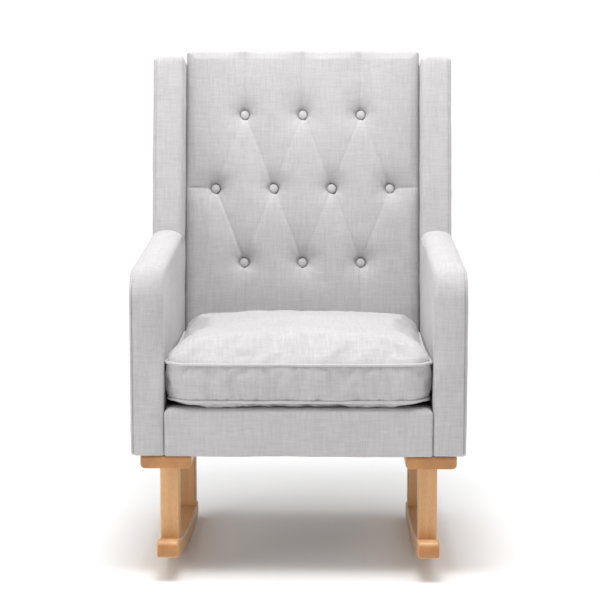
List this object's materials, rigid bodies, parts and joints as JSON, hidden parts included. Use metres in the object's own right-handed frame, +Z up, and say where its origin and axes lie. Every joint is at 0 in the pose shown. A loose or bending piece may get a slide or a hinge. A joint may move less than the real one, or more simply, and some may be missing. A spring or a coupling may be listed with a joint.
{
  "type": "rocking chair",
  "caption": "Upholstered rocking chair with button back, wings, padded arms, loose piped seat cushion and beech rocker base.",
  "frame": {"origin": "on the floor, under the middle of the chair's bounding box", "axes": "+X to the right of someone facing the chair, +Y from the seat's front to the back, +Z up"},
  "size_m": [0.64, 0.7512, 1.0145],
  "materials": {
    "beech": "satin",
    "frame_wood": "matte",
    "grey_fabric": "matte",
    "dark_lining": "matte",
    "steel": "satin"
  },
  "bodies": {
    "chair": {"back_lower_rail": "frame_wood", "back_panel": "grey_fabric", "back_support_cloth": "dark_lining", "back_top_rail": "frame_wood", "dust_cover": "dark_lining", "front_rail_pad": "grey_fabric", "front_seat_rail": "frame_wood", "left_arm_inner_pad": "grey_fabric", "left_arm_outer_pad": "grey_fabric", "left_arm_panel": "frame_wood", "left_arm_top_pad": "grey_fabric", "left_back_stile": "frame_wood", "left_front_arm_bolt": "steel", "left_front_leg": "beech", "left_front_rail_bolt": "steel", "left_mounting_plank": "beech", "left_rear_arm_bolt": "steel", "left_rear_leg": "beech", "left_rear_rail_bolt": "steel", "left_runner": "beech", "left_seat_rail": "frame_wood", "left_wing_core": "frame_wood", "left_wing_pad": "grey_fabric", "outside_back": "grey_fabric", "rear_seat_rail": "frame_wood", "right_arm_inner_pad": "grey_fabric", "right_arm_outer_pad": "grey_fabric", "right_arm_panel": "frame_wood", "right_arm_top_pad": "grey_fabric", "right_back_stile": "frame_wood", "right_front_arm_bolt": "steel", "right_front_leg": "beech", "right_front_rail_bolt": "steel", "right_mounting_plank": "beech", "right_rear_arm_bolt": "steel", "right_rear_leg": "beech", "right_rear_rail_bolt": "steel", "right_runner": "beech", "right_seat_rail": "frame_wood", "right_wing_core": "frame_wood", "right_wing_pad": "grey_fabric", "seat_deck": "dark_lining", "seat_spring_1": "steel", "seat_spring_2": "steel", "seat_spring_3": "steel", "seat_spring_4": "steel", "tuft_button_01": "grey_fabric", "tuft_button_02": "grey_fabric", "tuft_button_03": "grey_fabric", "tuft_button_04": "grey_fabric", "tuft_button_05": "grey_fabric", "tuft_button_06": "grey_fabric", "tuft_button_07": "grey_fabric", "tuft_button_08": "grey_fabric", "tuft_button_09": "grey_fabric", "tuft_button_10": "grey_fabric"},
    "cushion": {"seat_cushion": "grey_fabric", "upper_piping": "grey_fabric", "lower_piping": "grey_fabric", "cushion_zip": "dark_lining"}
  },
  "joints": [
    {"name": "cushion_lift", "type": "slide", "parent": "chair", "child": "cushion", "axis": [0, 0, 1], "range_m": [0, 0.3]}
  ]
}
